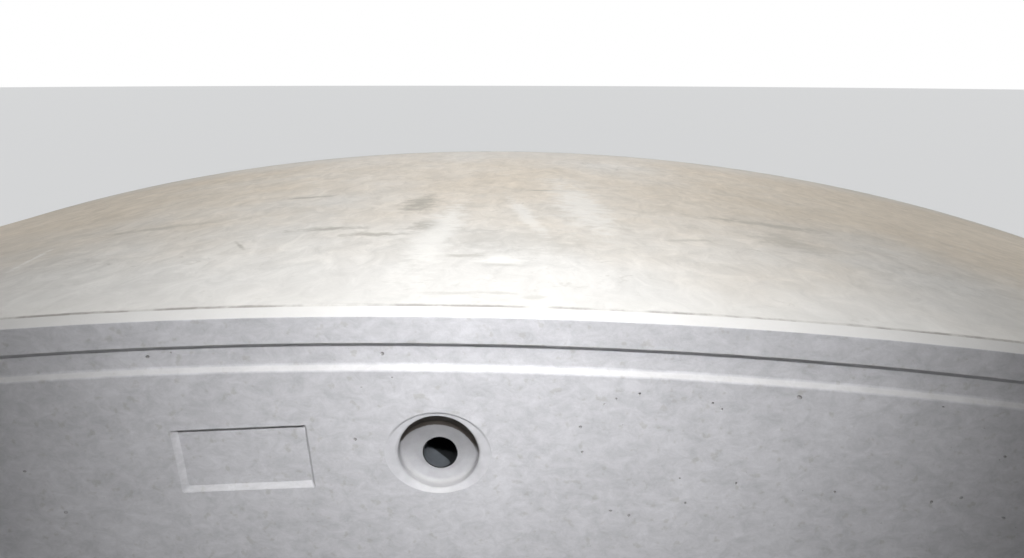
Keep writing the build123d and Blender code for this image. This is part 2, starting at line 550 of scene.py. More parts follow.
def end_frame(y, from_back, side):
    """Frame on a radial joint face; side 1 is towards +X."""
    origin = around_axis(side * HALF_TURN, y, OUTER_RADIUS - from_back)
    return local_frame(origin, *end_axes(side))


def circle_of(matrix, radius, depth, count):
    """A ring of points round a circle, that deep in from the face."""
    turns = [2 * math.pi * i / count for i in range(count)]
    return [matrix @ Vector((radius * math.cos(t), radius * math.sin(t), -depth)) for t in turns]


def socket_cutter(matrix, sizes, finishes):
    """The former of one bolt socket: its rim stands square at the top and slopes away to the bottom."""
    soft = 0.8 * sizes.edge_round
    rim = DISH_RADIUS - REBATE_HALF_HEIGHT
    foot = (rim - DISH_TAPER, REBATE_DEPTH + DISH_WALL)
    top = [(grow * MM, depth * MM, 0) for grow, depth in RIM_TOP]
    top += [
        (TOP_REBATE_EDGE, TOP_REBATE_DEPTH, soft),
        (rim, TOP_REBATE_DEPTH + TOP_REBATE_FALL, soft),
        (*foot, FOOT_ROUNDING[0]),
    ]
    bottom = [(grow * MM, depth * MM, 0) for grow, depth in RIM_BOTTOM]
    bottom += [(0, 0.2 * MM, soft), (rim, REBATE_DEPTH, 2 * soft), (*foot, FOOT_ROUNDING[1])]
    floor = [
        (SEAT_RADIUS - REBATE_HALF_HEIGHT, REBATE_DEPTH + DISH_DEPTH, SEAT_ROUNDING),
        (FORMER_TIP - REBATE_HALF_HEIGHT, REBATE_DEPTH + DISH_DEPTH, 0),
    ]
    rings = []
    for high, low in zip(rounded_line(top + floor, 5), rounded_line(bottom + floor, 5)):
        ring = []
        for i in range(SOCKET_STEPS):
            turn = 2 * math.pi * i / SOCKET_STEPS
            grow, depth = low.lerp(high, smooth(math.sin(turn), *RIM_MEETS))
            share = min(1.0, max(0.0, grow / rim))
            wider = (REBATE_HALF_WIDTH - REBATE_HALF_HEIGHT) * (1 - share)
            x = (REBATE_HALF_HEIGHT + grow + wider) * math.cos(turn)
            ring.append(matrix @ Vector((x, (REBATE_HALF_HEIGHT + grow) * math.sin(turn), -depth)))
        rings.append(ring)
    return skinned("socket_former", rings, finishes, FORMED)


def duct_cutter(matrix, start, finishes):
    """The curved tube that forms a bolt duct, from its mouth to the pocket."""
    eased = 0.3 * DUCT_LIP
    rows = [
        (DUCT_RADIUS + DUCT_LIP, start - OVERHANG),
        (DUCT_RADIUS + DUCT_LIP, start),
        (DUCT_RADIUS + eased, start + eased),
    ]
    rows += [(DUCT_RADIUS, depth) for depth in spaced(start + DUCT_LIP, DUCT_STRAIGHT, DUCT_STEP)]
    rings = [circle_of(matrix, radius, depth, DUCT_POINTS) for radius, depth in rows]
    hinge = matrix @ Matrix.Translation((0, -DUCT_BEND, -DUCT_STRAIGHT))
    for turn in spaced(0, DUCT_TURN, DUCT_TURN_STEP)[1:]:
        bent = hinge @ Matrix.Rotation(-turn, 4, "X") @ Matrix.Translation((0, DUCT_BEND, 0))
        rings.append(circle_of(bent, DUCT_RADIUS, 0, DUCT_POINTS))
    return skinned("duct_former", rings, finishes, DUCT)


def pocket_cutter(matrix, finishes):
    """The former of one bolt pocket, in a frame with its origin on the bolt at the joint face."""
    end_in = DUCT_STRAIGHT + DUCT_BEND * math.sin(DUCT_TURN)
    end_down = DUCT_BEND * (1 - math.cos(DUCT_TURN))
    top_in = end_in + SEAT_ABOVE_BOLT * math.sin(DUCT_TURN)
    top_down = end_down - SEAT_ABOVE_BOLT * math.cos(DUCT_TURN)
    roof_in = top_in + POCKET_RUN * math.cos(DUCT_TURN)
    roof_down = top_down + POCKET_RUN * math.sin(DUCT_TURN)
    mouth_down = THICKNESS - SOCKET_FROM_BACK - DUCT_DROP + POCKET_BELOW_FACE
    near_in = end_in - (mouth_down - end_down) * math.tan(DUCT_TURN)
    far_in = roof_in + (mouth_down - roof_down) * math.tan(POCKET_END_DRAFT)
    outline = rounded_line([
        (-mouth_down, near_in, 0),
        (-top_down, top_in, POCKET_SEAT_ROUNDING),
        (-roof_down, roof_in, POCKET_ROOF_ROUNDING),
        (-mouth_down, far_in, 0),
    ], steps=4)
    rings = []
    for across in (-POCKET_WIDTH / 2, POCKET_WIDTH / 2):
        rings.append([matrix @ Vector((across, up, -inward)) for up, inward in outline])
    cutter = skinned("pocket_former", rings, finishes)
    shape = bmesh.new()
    shape.from_mesh(cutter.data)
    flanks = [edge for edge in shape.edges if any(len(face.verts) > 4 for face in edge.link_faces)]
    bmesh.ops.bevel(
        shape, geom=flanks, offset=POCKET_FLANK_ROUNDING, segments=3, profile=0.5, affect="EDGES")
    shape.to_mesh(cutter.data)
    shape.free()
    return cutter


def mark_cutter(finishes):
    """The plate on the mould that leaves the recess for a mark."""
    matrix = ring_frame(MARK_ANGLE, MARK_FROM_BACK, -1) @ Matrix.Rotation(MARK_TILT, 4, "Z")
    half_width, half_height = MARK_SIZE[0] / 2, MARK_SIZE[1] / 2
    rows = [
        (0.8 * MM, -OVERHANG),
        (0.8 * MM, 0),
        (0, 0.4 * MM),
        (-0.7 * MM, 1.1 * MM),
        (0.5 * MM - MARK_DEPTH, MARK_DEPTH - 0.4 * MM),
        (-MARK_DEPTH, MARK_DEPTH),
    ]
    rings = []
    for grow, depth in rows:
        right, left = half_width + MARK_RIGHT_SLOPE * grow, -half_width - grow
        top, bottom = half_height + MARK_TOP_SLOPE * grow, -half_height - grow
        outline = rounded_line([
            (0, top, 0),
            (right, top, MARK_CORNER),
            (right, bottom, MARK_CORNER),
            (left, bottom, MARK_CORNER),
            (left, top, MARK_CORNER),
            (0, top, 0),
        ])
        rings.append([matrix @ Vector((x, y, -depth)) for x, y in outline[:-1]])
    return skinned("mark_former", rings, finishes)


def lift_cutter(finishes):
    """The former of the lifting socket: a coned mouth and a blind bore."""
    rows = rounded_line([
        (LIFT_MOUTH_RADIUS + LIFT_LIP, -LIFT_CLEAR, 0),
        (LIFT_MOUTH_RADIUS + LIFT_LIP, -0.3 * MM, 0),
        (LIFT_MOUTH_RADIUS - LIFT_LIP, 2.5 * MM, 1 * MM),
        (LIFT_BORE_RADIUS, LIFT_MOUTH_DEPTH, 3 * MM),
        (LIFT_BORE_RADIUS, LIFT_MOUTH_DEPTH + LIFT_BORE_DEPTH, 4 * MM),
        (FORMER_TIP, LIFT_MOUTH_DEPTH + LIFT_BORE_DEPTH, 0),
    ])
    base = Matrix.Translation((0, 0, AXIS_HEIGHT + INNER_RADIUS))
    matrix = base @ Matrix.Rotation(math.pi, 4, "X")
    rings = [circle_of(matrix, radius, depth, LIFT_POINTS) for radius, depth in rows]
    return skinned("lift_former", rings, finishes, FORMED)


def spread(draw, share):
    """A chance value from -share to share."""
    return draw.uniform(-share, share)


def draw_radius(sizes, draw):
    """A chance radius: most blow holes are small, and a few are large."""
    return sizes.pock_radius * (0.45 + 1.1 * draw.random() ** 3)


def main_pocks():
    """The blow holes that stand out: (frame on the face, how far up it, radius) for each."""
    pocks = []
    for along, down, size in MAIN_POCKS:
        from_back = down * MM
        deep = GROOVE_DEPTH if from_back < GROOVE_FROM_BACK + GROOVE_MOUTH else 0
        place = ring_frame(along * MM / (OUTER_RADIUS - from_back), from_back, -1)
        pocks.append((place @ Matrix.Translation((0, 0, -deep)), 0, size * MM))
    return pocks


def chance_pocks(sizes, draw):
    """The chance blow holes of every moulded face: (frame on the face, how far up it, radius) for each."""
    pocks = []
    height = GROOVE_BASE - INNER_RADIUS - INNER_ARRIS
    middle = THICKNESS - INNER_ARRIS - height / 2
    groove_middle = GROOVE_FROM_BACK + GROOVE_MOUTH / 2
    into_groove = Matrix.Translation((0, 0, -GROOVE_DEPTH))
    for side, share in ((-1, FRONT_SHARE), (1, REAR_SHARE)):
        count = int(share * sizes.pocks_per_area * height * RING_FACE_LENGTH)
        for _ in range(count):
            place = ring_frame(spread(draw, ALONG_RING) * HALF_TURN, middle, side)
            up = spread(draw, UP_FACE) * height
            pocks.append((place, up, draw_radius(sizes, draw)))
        for _ in range(int(GROOVE_SHARE * count)):
            place = ring_frame(spread(draw, ALONG_RING) * HALF_TURN, groove_middle, side)
            up = spread(draw, UP_GROOVE) * GROOVE_MOUTH
            pocks.append((place @ into_groove, up, draw_radius(sizes, draw)))
    for side in (-1, 1):
        for _ in range(int(END_SHARE * sizes.pocks_per_area * height * RING_WIDTH)):
            place = end_frame(spread(draw, ALONG_TUNNEL) * HALF_WIDTH, middle, side)
            up = spread(draw, UP_FACE) * height
            pocks.append((place, up, draw_radius(sizes, draw)))
    for _ in range(int(INNER_SHARE * sizes.pocks_per_area * RING_WIDTH * INNER_FACE_LENGTH)):
        angle = spread(draw, ALONG_RING) * HALF_TURN
        origin = around_axis(angle, spread(draw, ALONG_TUNNEL) * HALF_WIDTH, INNER_RADIUS)
        inward = Vector((-math.sin(angle), 0, -math.cos(angle)))
        pocks.append((local_frame(origin, inward, Vector((0, 1, 0))), 0, draw_radius(sizes, draw)))
    return pocks


def pock_cutter(sizes, finishes):
    """The bubbles that leave the blow holes; one that would touch an earlier one is left out."""
    draw = random.Random(sizes.seed)
    taken = []
    shape = bmesh.new()
    for place, up, radius in main_pocks() + chance_pocks(sizes, draw):
        centre = place @ Vector((0, up, draw.uniform(*POCK_OUT) * radius))
        if any((centre - other).length < radius + size + POCK_GAP for other, size in taken):
            continue
        taken.append((centre, radius))
        stretch = Matrix.Diagonal([draw.uniform(*limits) for limits in POCK_STRETCH] + [1])
        turn = Matrix.Rotation(spread(draw, POCK_TURN), 4, "Z")
        matrix = Matrix.Translation(centre) @ place.to_3x3().to_4x4() @ turn @ stretch
        fineness = 2 if radius > FINE_POCK else 1
        bmesh.ops.create_icosphere(shape, subdivisions=fineness, radius=radius, matrix=matrix)
    return finished_object(bpy.data.meshes.new("bubbles"), shape, finishes, POCKED)


def joined(objects):
    """Several meshes of the same finishes that do not touch, as one object."""
    shape = bmesh.new()
    for part in objects:
        shape.from_mesh(part.data)
    kept = objects[0]
    shape.to_mesh(kept.data)
    shape.free()
    for part in objects[1:]:
        bpy.data.objects.remove(part)
    return kept


def cut(body, cutter):
    """Takes the cutter's volume out of the body, and puts the cutter away."""
    modifier = body.modifiers.new("cut", "BOOLEAN")
    modifier.operation = "DIFFERENCE"
    modifier.solver = "MANIFOLD"
    modifier.object = cutter
    before = body.data
    evaluated = body.evaluated_get(bpy.context.evaluated_depsgraph_get())
    after = bpy.data.meshes.new_from_object(evaluated)
    if len(after.polygons) in (0, len(before.polygons)):
        raise RuntimeError(f"{cutter.name} took nothing out of {body.name}, or all of it")
    body.data = after
    body.modifiers.clear()
    bpy.data.meshes.remove(before)
    bpy.data.objects.remove(cutter)


def depth_of(place):
    """How far a point lies below the back's true curve."""
    return OUTER_RADIUS - Vector((place.x, 0, place.z - AXIS_HEIGHT)).length


def inset_of(place):
    """How far a point of the back is in from the nearest joint face."""
    outward, _ = end_axes(1)
    from_end = -Vector((abs(place.x), 0, place.z - AXIS_HEIGHT)).dot(outward)
    return min(HALF_WIDTH - abs(place.y), from_end)


def on_back(place, sizes):
    """Whether a point is on the trowelled back or in its seam, and not on the arris."""
    return depth_of(place) < 1.1 * sizes.seam_depth and inset_of(place) > ARRIS_WIDTH + 0.05 * MM


def trowel_dip(place):
    """How far the trowel has left the back below its true curve, from 0 to 1."""
    across = Vector((place.x / DIP_SIZE[0], place.y / DIP_SIZE[1], 3.1))
    broad = 0.5 + 0.5 * noise.noise(across)
    slanted = place.x / PASS_SIZE[0] + PASS_SLANT * place.y
    ridge = 1 - abs(noise.noise(Vector((slanted, place.y / PASS_SIZE[1], 9.7))))
    return DIP_SHARE * broad + (1 - DIP_SHARE) * (1 - ridge ** RIDGE_POWER)


def seam_share(place):
    """How deep the ragged seam is at a point, as a share of its greatest depth."""
    along = Vector((place.x / SEAM_RAGS, place.y / SEAM_RAGS, 0))
    rags = noise.noise(along) + 0.6 * noise.noise(3.7 * along)
    return SEAM_LEAST + (1 - SEAM_LEAST) * smooth(rags, -0.45, 0.5)


def work_back(body, sizes):
    """Sinks the back in the waves of the trowel, and makes the seam along its edges ragged."""
    seam_end = ARRIS_WIDTH + sizes.seam_width
    for vertex in body.data.vertices:
        place = vertex.co.copy()
        if not on_back(place, sizes):
            continue
        depth = depth_of(place)
        inset = inset_of(place)
        if depth > 0.5 * sizes.seam_depth and inset < seam_end:
            sink = seam_share(place) * sizes.seam_depth - depth
        else:
            fade = smooth(inset, seam_end, seam_end + WAVES_BEGIN)
            sink = sizes.back_wave * trowel_dip(place) * fade
        spoke = Vector((place.x, 0, place.z - AXIS_HEIGHT))
        vertex.co = place - spoke.normalized() * sink


def note_sockets(body, sockets):
    """Writes each vertex's place in the nearest socket's own frame, for the painted shadows in the dish and
    the duct.
    """
    inverses = [socket.inverted() for socket in sockets]
    places = body.data.attributes.new(SOCKET_PLACE, "FLOAT_VECTOR", "POINT")
    for vertex, place in zip(body.data.vertices, places.data):
        place.vector = min((inverse @ vertex.co for inverse in inverses), key=lambda own: own.length)


def set_finish(body, sizes):
    """Gives the back its trowelled finish, and keeps the flat faces flat where they meet rounded edges."""
    flats = [Vector((0, 1, 0)), end_axes(1)[0], end_axes(-1)[0]]
    for polygon in body.data.polygons:
        if on_back(polygon.center, sizes):
            polygon.material_index = TROWELLED
        polygon.use_smooth = all(abs(polygon.normal.dot(flat)) <= FLATNESS for flat in flats)
    body.data.set_sharp_from_angle(angle=SHARP_ANGLE)


def bolt_places():
    """For each bolt duct, its frame on the joint face and how far in its mouth is."""
    drop = SOCKET_FROM_BACK + DUCT_DROP
    places = []
    for mount in frame["record"]["mounts"]:
        x, y, z = mount["pos_m"]
        if mount["name"].startswith("ring_socket"):
            angle = math.atan2(x, z - AXIS_HEIGHT)
            places.append((ring_frame(angle, drop, math.copysign(1, y)), REBATE_DEPTH + DISH_DEPTH))
        elif mount["name"].startswith("radial_socket"):
            places.append((end_frame(y, drop, math.copysign(1, x)), 0))
    if not places:
        raise RuntimeError("The record states no bolt ducts")
    return places


def build_segment(sizes, finishes):
    """Casts the body, then takes out what each former and plate of the mould keeps free."""
    body = cast_body(sizes, finishes)
    places = bolt_places()
    sockets = [place @ Matrix.Translation((0, DUCT_DROP, 0)) for place, start in places if start]
    cut(body, joined([end_plate_cutter(sizes, side, finishes) for side in (-1, 1)]))
    set_finish(body, sizes)
    cut(body, joined([socket_cutter(place, sizes, finishes) for place in sockets]))
    cut(body, joined([duct_cutter(place, start, finishes) for place, start in places]))
    cut(body, joined([pocket_cutter(place, finishes) for place, _ in places]))
    cut(body, mark_cutter(finishes))
    cut(body, lift_cutter(finishes))
    work_back(body, sizes)
    cut(body, pock_cutter(sizes, finishes))
    set_finish(body, sizes)
    note_sockets(body, sockets)
    normals = body.modifiers.new("face_normals", "WEIGHTED_NORMAL")
    normals.keep_sharp = True
    body.name = "segment_concrete"
    return body


def add(tree, kind, sockets=None, **settings):
    """Adds a node with its settings. A socket gets a value, another node's first output or a named one."""
    node = tree.nodes.new(kind)
    for name, value in settings.items():
        setattr(node, name, value)
    for name, value in (sockets or {}).items():
        if isinstance(value, bpy.types.Node):
            value = next(output for output in value.outputs if output.enabled)
        if isinstance(value, bpy.types.NodeSocket):
            tree.links.new(value, node.inputs[name])
        else:
            node.inputs[name].default_value = value
    return node


def new_material(name):
    """A material with no nodes, and its node tree."""
    material = bpy.data.materials.new(name)
    material.use_nodes = True
    material.node_tree.nodes.clear()
    return material, material.node_tree


def surfaced(material, sockets):
    """The material with its shader, whose sockets are filled, and its output."""
    tree = material.node_tree
    shader = add(tree, "ShaderNodeBsdfPrincipled", sockets)
    add(tree, "ShaderNodeOutputMaterial", {"Surface": shader})
    return material


def shaded(tree, colour, pattern, strength, low=0.3, high=0.7):
    """A colour made darker and lighter, by that share of it, as a pattern goes from low to high."""
    factor = add(tree, "ShaderNodeMapRange", {
        "Value": pattern, "From Min": low, "From Max": high, "To Min": 1 - strength, "To Max": 1 + strength,
    })
    return add(tree, "ShaderNodeVectorMath", {0: colour, 3: factor}, operation="SCALE")


def stained(tree, colour, stain, pattern, low, high, most=1.0):
    """A colour that turns to the stain, by no more than a share, as a pattern goes from low to high."""
    share = add(tree, "ShaderNodeMapRange", {
        "Value": pattern, "From Min": low, "From Max": high, "To Max": most,
    }, interpolation_type="SMOOTHSTEP")
    return add(tree, "ShaderNodeMix", {0: share, 6: colour, 7: stain}, data_type="RGBA")


def dust_and_top_light(tree, colour, dust, steep, level, most):
    """A colour paled on whatever looks up, none where it is steep and most where it is level: dust, and
    painted light from above.
    """
    normal = add(tree, "ShaderNodeNewGeometry").outputs["Normal"]
    upward = add(tree, "ShaderNodeSeparateXYZ", {0: normal}).outputs["Z"]
    return stained(tree, colour, dust, upward, steep, level, most)


def moulded_concrete(colours):
    """Concrete cast against an oiled steel mould: an even, dense grey skin, softly mottled.

    The form oil ran and the paste dried unevenly, which left clouds a hand across and small smears
    along the ring. Sand shows as grain and dark specks, and faces that look up are painted paler:
    cement dust, and painted light from above.
    """
    material, tree = new_material("steel_mould_concrete")
    place = add(tree, "ShaderNodeTexCoord").outputs["Object"]
    clouds = add(tree, "ShaderNodeTexNoise", {"Vector": place, "Scale": 1 / (150 * MM), "Detail": 3})
    along_ring = add(tree, "ShaderNodeMapping", {"Vector": place, "Scale": (0.65, 1, 1)})
    smears = add(tree, "ShaderNodeTexNoise", {
        "Vector": along_ring, "Scale": 1 / (15 * MM), "Detail": 5, "Roughness": 0.75, "Distortion": 0.5,
    })
    grain = add(tree, "ShaderNodeTexNoise", {
        "Vector": place, "Scale": 1 / (2.8 * MM), "Detail": 3, "Roughness": 0.6,
    })
    specks = add(tree, "ShaderNodeTexNoise", {"Vector": place, "Scale": 1 / (11 * MM), "Detail": 2})
    colour = shaded(tree, colours.moulded[:3], clouds, 0.05)
    colour = shaded(tree, colour, smears, 0.15)
    colour = shaded(tree, colour, grain, 0.015)
    colour = stained(tree, colour, colours.burnish, specks, 0.6, 0.74, 0.32)
    # Faces that look up are painted paler: dust, and painted light from above.
    colour = dust_and_top_light(tree, colour, colours.laitance, 0.58, 0.92, 0.85)
    height = add(tree, "ShaderNodeMath", {0: smears, 1: grain}, operation="ADD")
    relief = add(tree, "ShaderNodeBump", {"Height": height, "Strength": 0.3, "Distance": 0.5 * MM})
    return surfaced(material, {"Base Color": colour, "Normal": relief, "Roughness": 0.7})


def joint_inset(tree, place):
    """How far a point of the back is in from the nearest joint face, in metres."""
    outward, _ = end_axes(1)
    x, y, z = add(tree, "ShaderNodeSeparateXYZ", {0: place}).outputs
    across = add(tree, "ShaderNodeMath", {0: y}, operation="ABSOLUTE")
    from_ring = add(tree, "ShaderNodeMath", {0: HALF_WIDTH, 1: across}, operation="SUBTRACT")
    along = add(tree, "ShaderNodeMath", {0: x}, operation="ABSOLUTE")
    run = add(tree, "ShaderNodeMath", {
        0: along, 1: -outward.x, 2: AXIS_HEIGHT * outward.z,
    }, operation="MULTIPLY_ADD")
    from_end = add(tree, "ShaderNodeMath", {0: z, 1: -outward.z, 2: run}, operation="MULTIPLY_ADD")
    return add(tree, "ShaderNodeMath", {0: from_ring, 1: from_end}, operation="MINIMUM")


def stroke_reach(tree, place, along, from_face, half_length, half_width, turn):
    """How far a point of the back is from a stroke's middle, in half widths and half lengths.

    The sizes are in mm, and the turn is in degrees from along the ring.
    """
    shift = (-along * MM, HALF_WIDTH - from_face * MM, 0)
    centred = add(tree, "ShaderNodeVectorMath", {0: place, 1: shift}, operation="ADD")
    turned = add(tree, "ShaderNodeMapping", {"Vector": centred, "Rotation": (0, 0, -math.radians(turn))})
    size = (1 / (half_length * MM), 1 / (half_width * MM), 0)
    scaled = add(tree, "ShaderNodeVectorMath", {0: turned, 1: size}, operation="MULTIPLY")
    return add(tree, "ShaderNodeVectorMath", {0: scaled}, operation="LENGTH")


def stroked(tree, colour, place, colours):
    """A colour with the strokes that stand out on the back, frayed by one noise."""
    drawn_out = add(tree, "ShaderNodeMapping", {"Vector": place, "Scale": (0.7, 1, 1)})
    rough = add(tree, "ShaderNodeTexNoise", {
        "Vector": drawn_out, "Scale": 1 / (22 * MM), "Detail": 4, "Roughness": 0.7,
    })
    for *shape, strength in BACK_STROKES:
        reach = stroke_reach(tree, place, *shape)
        frayed = add(tree, "ShaderNodeMath", {0: rough, 1: STROKE_FRAY, 2: reach}, operation="MULTIPLY_ADD")
        stain = colours.skin if strength > 0 else colours.burnish
        colour = stained(tree, colour, stain, frayed, STROKE_END, STROKE_FULL, abs(strength))
    return colour


def seam_shade(tree, colour, dirt_and_shade, place, inset):
    """A colour with a wandering, broken dark line in the seam beside the arris, a painted shade."""
    wobble = add(tree, "ShaderNodeTexNoise", {
        "Vector": place, "Scale": 1 / (30 * MM), "Detail": 4, "Roughness": 0.6,
    })
    gaps = add(tree, "ShaderNodeTexNoise", {
        "Vector": place, "Scale": 1 / (50 * MM), "Detail": 4, "Roughness": 0.6,
    })
    line = ARRIS_WIDTH + SEAM_SHADE_LINE * SEAM_WIDTH + SEAM_SHADE_WANDER / 2
    wandered = add(tree, "ShaderNodeMath", {0: wobble, 1: SEAM_SHADE_WANDER, 2: inset}, operation="MULTIPLY_ADD")
    off_line = add(tree, "ShaderNodeMath", {0: wandered, 1: line}, operation="SUBTRACT")
    distance = add(tree, "ShaderNodeMath", {0: off_line}, operation="ABSOLUTE")
    broken = add(tree, "ShaderNodeMapRange", {
        "Value": gaps, "From Min": 0.36, "From Max": 0.54, "To Min": 0.2, "To Max": 0.6,
    }, interpolation_type="SMOOTHSTEP")
    return stained(tree, colour, dirt_and_shade, distance, 6.5 * MM, 2.2 * MM, broken)


def trowelled_concrete(colours):
    """Concrete struck off and finished with a steel trowel: pale laitance with dark burnished strokes.

    The skin is palest along the edges, where the trowel rode on the mould, and in front. Towards the
    two ends it is painted warmer and darker, a painted shade, and the seam along the edges is painted
    with a dark line, a painted shade in it.
    """
    material, tree = new_material("trowelled_concrete")
    place = add(tree, "ShaderNodeTexCoord").outputs["Object"]
    x, y, _ = add(tree, "ShaderNodeSeparateXYZ", {0: place}).outputs
    forward = add(tree, "ShaderNodeMapRange", {
        "Value": y, "From Min": 0.1, "From Max": -0.8, "To Min": -0.1, "To Max": 0.2,
    }, interpolation_type="SMOOTHSTEP")
    # Painted shade: the back is painted warmer and darker towards its two ends, where less light reaches.
    aside = add(tree, "ShaderNodeMath", {0: x}, operation="ABSOLUTE")
    ends = add(tree, "ShaderNodeMapRange", {
        "Value": aside, "From Min": 0.4, "From Max": 1.3, "To Min": 0.06, "To Max": -0.3,
    }, interpolation_type="SMOOTHSTEP")
    clouds = add(tree, "ShaderNodeTexNoise", {
        "Vector": place, "Scale": 1 / (420 * MM), "Detail": 4, "Roughness": 0.55,
    })
    washed = add(tree, "ShaderNodeMath", {0: clouds, 1: forward}, operation="ADD")
    washed = add(tree, "ShaderNodeMath", {0: washed, 1: ends}, operation="ADD")
    colour = stained(tree, colours.trowelled, colours.laitance, washed, 0.15, 0.9, 0.95)
    colour = shaded(tree, colour, ends, 0.06, low=-0.3, high=0.06)

    across_ring = add(tree, "ShaderNodeMapping", {"Vector": place, "Scale": (1.3, 0.75, 1)})
    patches = add(tree, "ShaderNodeTexNoise", {
        "Vector": across_ring, "Scale": 1 / (50 * MM), "Detail": 5, "Roughness": 0.68, "Distortion": 0.8,
    })
    further_across = add(tree, "ShaderNodeMapping", {"Vector": place, "Scale": (1.5, 0.5, 1)})
    blotches = add(tree, "ShaderNodeTexNoise", {
        "Vector": further_across, "Scale": 1 / (130 * MM), "Detail": 2, "Distortion": 0.5,
    })
    grain = add(tree, "ShaderNodeTexNoise", {
        "Vector": place, "Scale": 1 / (4 * MM), "Detail": 3, "Roughness": 0.6,
    })
    colour = shaded(tree, colour, patches, 0.14)
    colour = shaded(tree, colour, blotches, 0.04)
    colour = shaded(tree, colour, grain, 0.03)

    flattened = add(tree, "ShaderNodeMapping", {"Vector": place, "Scale": (0.8, 0.8, 1)})
    drags = add(tree, "ShaderNodeTexNoise", {
        "Vector": flattened, "Scale": 1 / (30 * MM), "Detail": 4, "Roughness": 0.65, "Distortion": 1.2,
    })
    areas = add(tree, "ShaderNodeTexNoise", {"Vector": place, "Scale": 1 / (200 * MM), "Detail": 2})
    worked = add(tree, "ShaderNodeMapRange", {
        "Value": areas, "From Min": 0.49, "From Max": 0.62, "To Max": 0.35,
    }, interpolation_type="SMOOTHSTEP")
    colour = stained(tree, colour, colours.burnish, drags, 0.58, 0.72, worked)
    colour = stained(tree, colour, colours.laitance, drags, 0.43, 0.3, 0.25)
    colour = stroked(tree, colour, place, colours)

    inset = joint_inset(tree, place)
    colour = stained(tree, colour, colours.laitance, inset, 0.30, 0.03, 0.45)
    # Painted shade: a dark line along the seam.
    colour = seam_shade(tree, colour, colours.dirt_and_shade, place, inset)
    height = add(tree, "ShaderNodeMath", {0: drags, 1: patches}, operation="ADD")
    relief = add(tree, "ShaderNodeBump", {"Height": height, "Strength": 0.28, "Distance": 1.2 * MM})
    return surfaced(material, {
        "Base Color": colour, "Normal": relief, "Roughness": 0.8, "Specular IOR Level": 0.35,
    })


def socket_parts(tree):
    """Where a point is in its nearest socket: across, up and out of the joint face, in metres."""
    own = add(tree, "ShaderNodeAttribute", attribute_name=SOCKET_PLACE).outputs["Vector"]
    return add(tree, "ShaderNodeSeparateXYZ", {0: own}).outputs


def formed_concrete(colours):
    """Concrete cast against a turned steel former: smooth and close.

    A crescent under the upper edge of the dish is painted dark, a painted shadow of that edge, and
    the dish is painted darker towards its top, a painted shade.
    """
    material, tree = new_material("steel_former_concrete")
    place = add(tree, "ShaderNodeTexCoord").outputs["Object"]
    patches = add(tree, "ShaderNodeTexNoise", {
        "Vector": place, "Scale": 1 / (20 * MM), "Detail": 4, "Roughness": 0.6,
    })
    plain = shaded(tree, colours.moulded[:3], patches, 0.1)
    # The rebate's faces that look up are painted paler: dust, and painted light from above.
    rebate = dust_and_top_light(tree, plain, colours.laitance, 0.25, 0.6, 0.3)

    across, up, out = socket_parts(tree)
    inside = add(tree, "ShaderNodeMapRange", {
        "Value": out, "From Min": -2.4 * MM, "From Max": -4 * MM,
    }, interpolation_type="SMOOTHSTEP")
    # Painted shade: the dish is painted darker than the face, and darker still towards its top, under its
    # upper edge.
    dish_shade = add(tree, "ShaderNodeMapRange", {
        "Value": up, "From Min": -40 * MM, "From Max": 35 * MM, "To Min": 0.76, "To Max": 0.42,
    }, interpolation_type="SMOOTHSTEP")
    dish = add(tree, "ShaderNodeVectorMath", {0: plain, 3: dish_shade}, operation="SCALE")
    # The dish's faces that look up are painted paler too: dust, and painted light from above.
    dish = dust_and_top_light(tree, dish, colours.laitance, 0.3, 0.8, 0.25)
    colour = add(tree, "ShaderNodeMix", {0: inside, 6: rebate, 7: dish}, data_type="RGBA")

    # Painted shadow: a crescent under the dish's upper edge, bounded by the rim's circle moved down and
    # aside with depth, as the edge's cast shadow would lie.
    lowered = add(tree, "ShaderNodeMath", {0: out, 1: -DISH_SHADOW_SLANT, 2: up}, operation="MULTIPLY_ADD")
    sideways = add(tree, "ShaderNodeMath", {0: across, 1: DISH_SHADOW_ASIDE}, operation="ADD")
    off_axis = add(tree, "ShaderNodeCombineXYZ", {0: sideways, 1: lowered})
    reach = add(tree, "ShaderNodeVectorMath", {0: off_axis}, operation="LENGTH")
    ragged = add(tree, "ShaderNodeMath", {0: patches, 1: DISH_SHADOW_RAGS, 2: reach}, operation="MULTIPLY_ADD")
    under = add(tree, "ShaderNodeMapRange", {
        "Value": ragged, "From Min": DISH_RADIUS + 1.2 * MM, "From Max": DISH_RADIUS + 2.6 * MM,
        "To Max": inside,
    }, interpolation_type="SMOOTHSTEP")
    in_dish_shadow = add(tree, "ShaderNodeMapRange", {
        "Value": up, "From Min": -8 * MM, "From Max": 6 * MM, "To Max": under,
    }, interpolation_type="SMOOTHSTEP")
    shadow_core = (DISH_RADIUS + 9 * MM, DISH_RADIUS + 4 * MM)
    brown = stained(tree, colours.dirt_and_shade, colours.dish_shadow, ragged, *shadow_core)
    colour = add(tree, "ShaderNodeMix", {0: in_dish_shadow, 6: colour, 7: brown}, data_type="RGBA")
    relief = add(tree, "ShaderNodeBump", {"Height": patches, "Strength": 0.3, "Distance": 0.5 * MM})
    return surfaced(material, {"Base Color": colour, "Normal": relief, "Roughness": 0.6})


